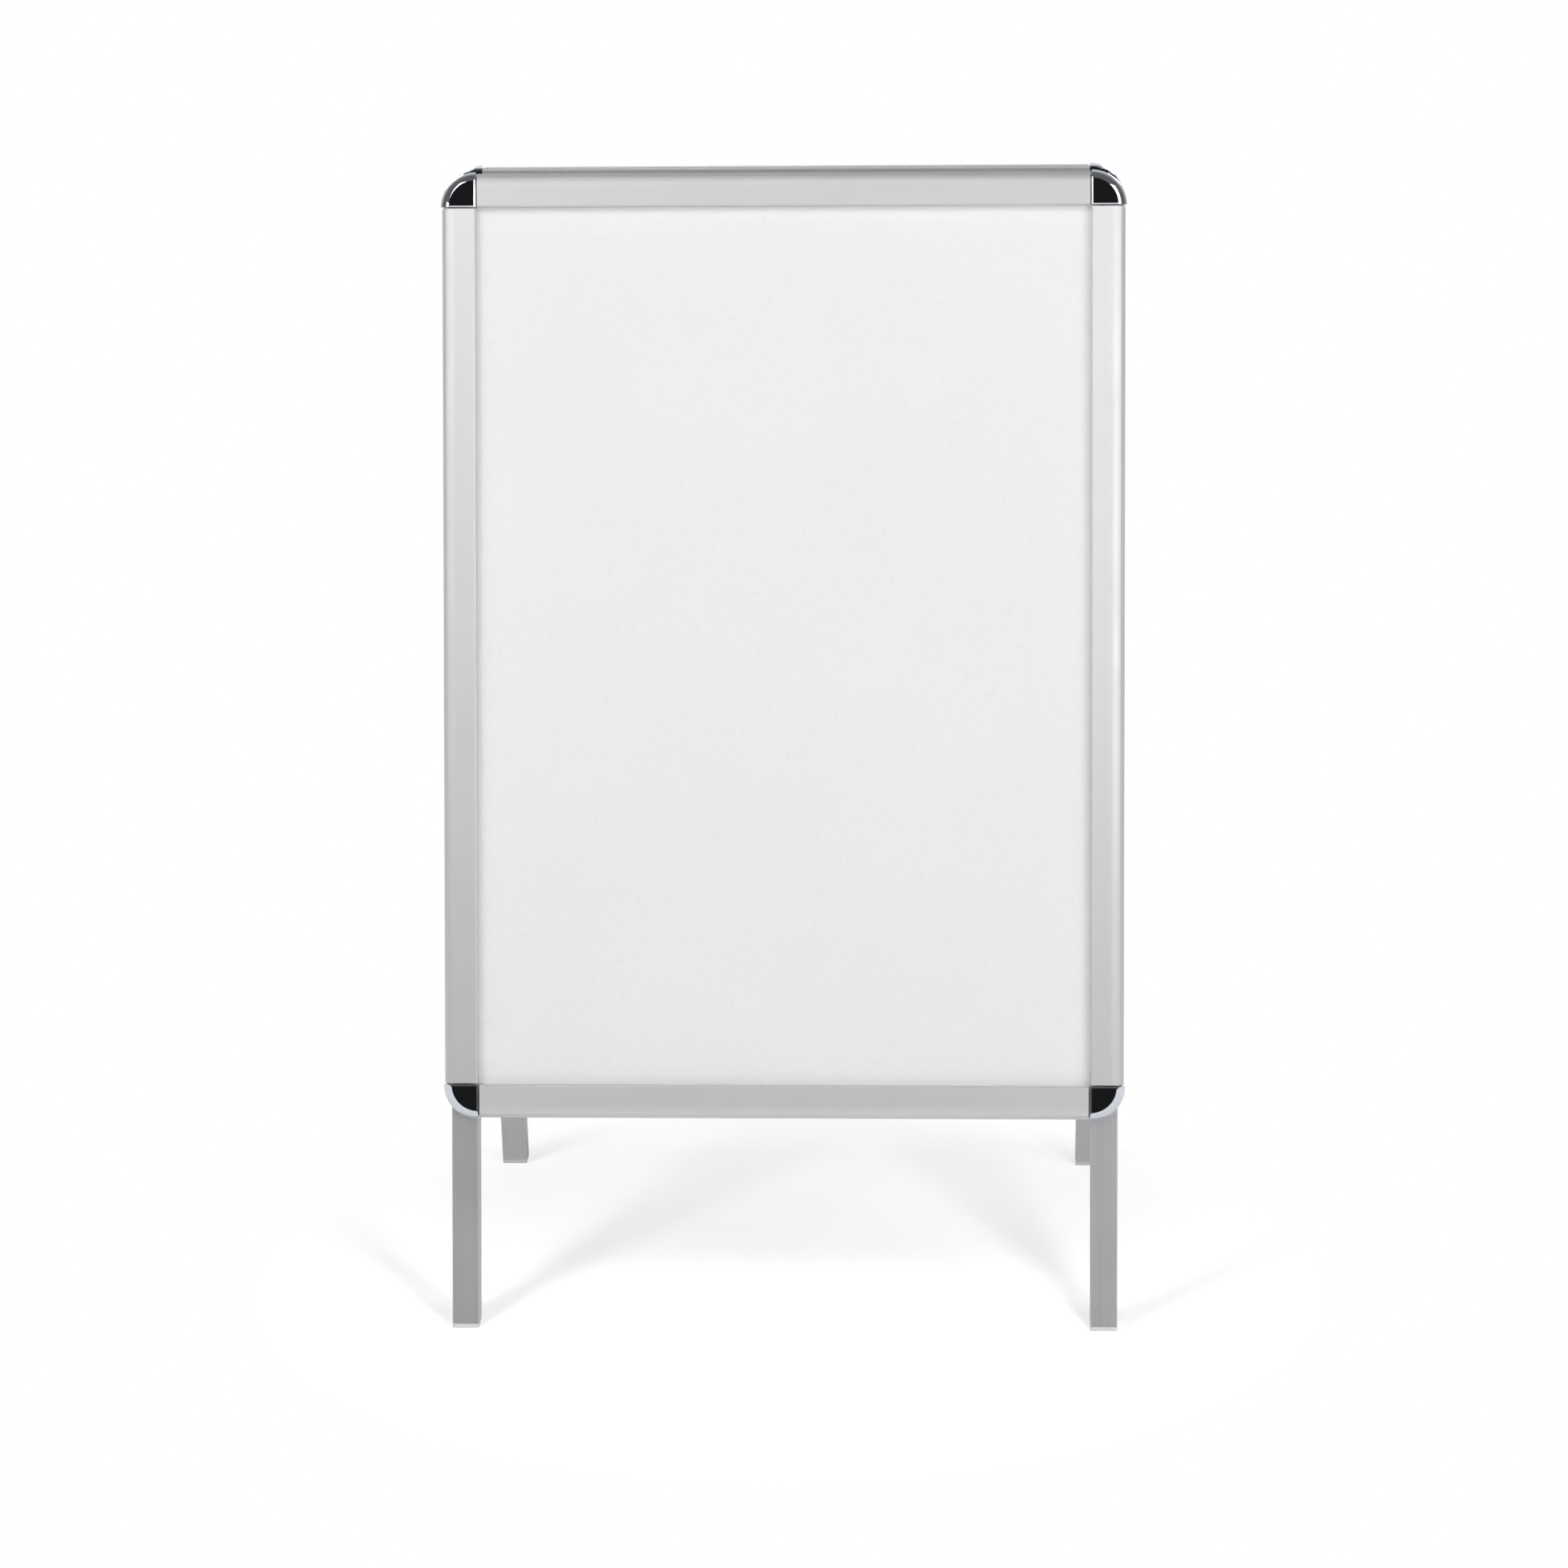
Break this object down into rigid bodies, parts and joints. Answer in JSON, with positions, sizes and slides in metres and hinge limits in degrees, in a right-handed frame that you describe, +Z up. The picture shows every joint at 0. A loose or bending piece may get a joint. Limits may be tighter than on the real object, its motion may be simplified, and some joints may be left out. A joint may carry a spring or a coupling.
{
  "type": "a-frame board",
  "caption": "Double-sided folding A-frame poster board: aluminium snap frames with chromed round corners, blank sheets under clear covers, tube legs and sliding stays.",
  "frame": {"origin": "on the floor, midway between the four feet", "axes": "+Z up, the front panel faces -Y, +X to the right seen from the front"},
  "size_m": [0.6392, 0.4994, 1.0631],
  "materials": {
    "rail_aluminium": "satin anodised",
    "leg_aluminium": "satin anodised",
    "corner_chrome": "polished chrome",
    "galvanised_sheet": "galvanised",
    "poster_paper": "matt white",
    "clear_cover": "clear, low glare",
    "spring_steel": "blued",
    "zinc_steel": "zinc plated",
    "foot_plastic": "moulded",
    "dark_plastic": "moulded"
  },
  "bodies": {
    "front_panel": {"front_back_panel": "galvanised_sheet", "front_base_rail_bottom": "rail_aluminium", "front_base_rail_left": "rail_aluminium", "front_base_rail_right": "rail_aluminium", "front_base_rail_top": "rail_aluminium", "front_clear_cover": "clear_cover", "front_corner_cap_bottom_left": "corner_chrome", "front_corner_cap_bottom_right": "corner_chrome", "front_corner_cap_top_left": "corner_chrome", "front_corner_cap_top_right": "corner_chrome", "front_corner_keys": "zinc_steel", "front_corner_screws": "zinc_steel", "front_foot_left": "foot_plastic", "front_foot_right": "foot_plastic", "front_hinge_leaf_left": "zinc_steel", "front_hinge_leaf_right": "zinc_steel", "front_hinge_screws": "zinc_steel", "front_leg_left": "leg_aluminium", "front_leg_plugs": "dark_plastic", "front_leg_right": "leg_aluminium", "front_leg_screws": "zinc_steel", "front_poster": "poster_paper", "front_spring_clips": "spring_steel", "hinge_pins": "zinc_steel", "stay_pivots": "zinc_steel"},
    "rear_panel": {"rear_back_panel": "galvanised_sheet", "rear_base_rail_bottom": "rail_aluminium", "rear_base_rail_left": "rail_aluminium", "rear_base_rail_right": "rail_aluminium", "rear_base_rail_top": "rail_aluminium", "rear_clear_cover": "clear_cover", "rear_corner_cap_bottom_left": "corner_chrome", "rear_corner_cap_bottom_right": "corner_chrome", "rear_corner_cap_top_left": "corner_chrome", "rear_corner_cap_top_right": "corner_chrome", "rear_corner_keys": "zinc_steel", "rear_corner_screws": "zinc_steel", "rear_foot_left": "foot_plastic", "rear_foot_right": "foot_plastic", "rear_hinge_leaf_left": "zinc_steel", "rear_hinge_leaf_right": "zinc_steel", "rear_hinge_screws": "zinc_steel", "rear_leg_left": "leg_aluminium", "rear_leg_plugs": "dark_plastic", "rear_leg_right": "leg_aluminium", "rear_leg_screws": "zinc_steel", "rear_poster": "poster_paper", "rear_spring_clips": "spring_steel"},
    "front_top_rail": {"front_snap_rail_top": "rail_aluminium"},
    "front_bottom_rail": {"front_snap_rail_bottom": "rail_aluminium"},
    "front_left_rail": {"front_snap_rail_left": "rail_aluminium"},
    "front_right_rail": {"front_snap_rail_right": "rail_aluminium"},
    "rear_top_rail": {"rear_snap_rail_top": "rail_aluminium"},
    "rear_bottom_rail": {"rear_snap_rail_bottom": "rail_aluminium"},
    "rear_left_rail": {"rear_snap_rail_left": "rail_aluminium"},
    "rear_right_rail": {"rear_snap_rail_right": "rail_aluminium"},
    "left_stay": {"stay_left": "zinc_steel", "stay_sliding_pin_left": "zinc_steel"},
    "right_stay": {"stay_right": "zinc_steel", "stay_sliding_pin_right": "zinc_steel"}
  },
  "joints": [
    {"name": "fold", "type": "hinge", "parent": "front_panel", "child": "rear_panel", "pos_m": [0, 0, 1.0435], "axis": [-1, 0, 0], "range_deg": [0, 24]},
    {"name": "left_stay_swing", "type": "hinge", "parent": "front_panel", "child": "left_stay", "pos_m": [-0.2845, -0.08952, 0.69448], "axis": [-1, 0, 0], "range_deg": [0, 48]},
    {"name": "right_stay_swing", "type": "hinge", "parent": "front_panel", "child": "right_stay", "pos_m": [0.2845, -0.08952, 0.69448], "axis": [-1, 0, 0], "range_deg": [0, 48]},
    {"name": "front_top_rail_open", "type": "hinge", "parent": "front_panel", "child": "front_top_rail", "pos_m": [0, -0.0299, 1.05916], "axis": [-1, 0, 0], "range_deg": [0, 95]},
    {"name": "front_bottom_rail_open", "type": "hinge", "parent": "front_panel", "child": "front_bottom_rail", "pos_m": [0, -0.21269, 0.19917], "axis": [1, 0, 0], "range_deg": [0, 95]},
    {"name": "front_left_rail_open", "type": "hinge", "parent": "front_panel", "child": "front_left_rail", "pos_m": [-0.3161, -0.1213, 0.62916], "axis": [0, -0.2079, -0.9781], "range_deg": [0, 95]},
    {"name": "front_right_rail_open", "type": "hinge", "parent": "front_panel", "child": "front_right_rail", "pos_m": [0.3161, -0.1213, 0.62916], "axis": [0, 0.2079, 0.9781], "range_deg": [0, 95]},
    {"name": "rear_top_rail_open", "type": "hinge", "parent": "rear_panel", "child": "rear_top_rail", "pos_m": [0, 0.0299, 1.05916], "axis": [1, 0, 0], "range_deg": [0, 95]},
    {"name": "rear_bottom_rail_open", "type": "hinge", "parent": "rear_panel", "child": "rear_bottom_rail", "pos_m": [0, 0.21269, 0.19917], "axis": [-1, 0, 0], "range_deg": [0, 95]},
    {"name": "rear_left_rail_open", "type": "hinge", "parent": "rear_panel", "child": "rear_left_rail", "pos_m": [-0.3161, 0.1213, 0.62916], "axis": [0, -0.2079, 0.9781], "range_deg": [0, 95]},
    {"name": "rear_right_rail_open", "type": "hinge", "parent": "rear_panel", "child": "rear_right_rail", "pos_m": [0.3161, 0.1213, 0.62916], "axis": [0, 0.2079, -0.9781], "range_deg": [0, 95]}
  ],
  "couplings": [
    {"joint": "left_stay_swing", "follows": "fold", "ratio": 2},
    {"joint": "right_stay_swing", "follows": "fold", "ratio": 2}
  ]
}
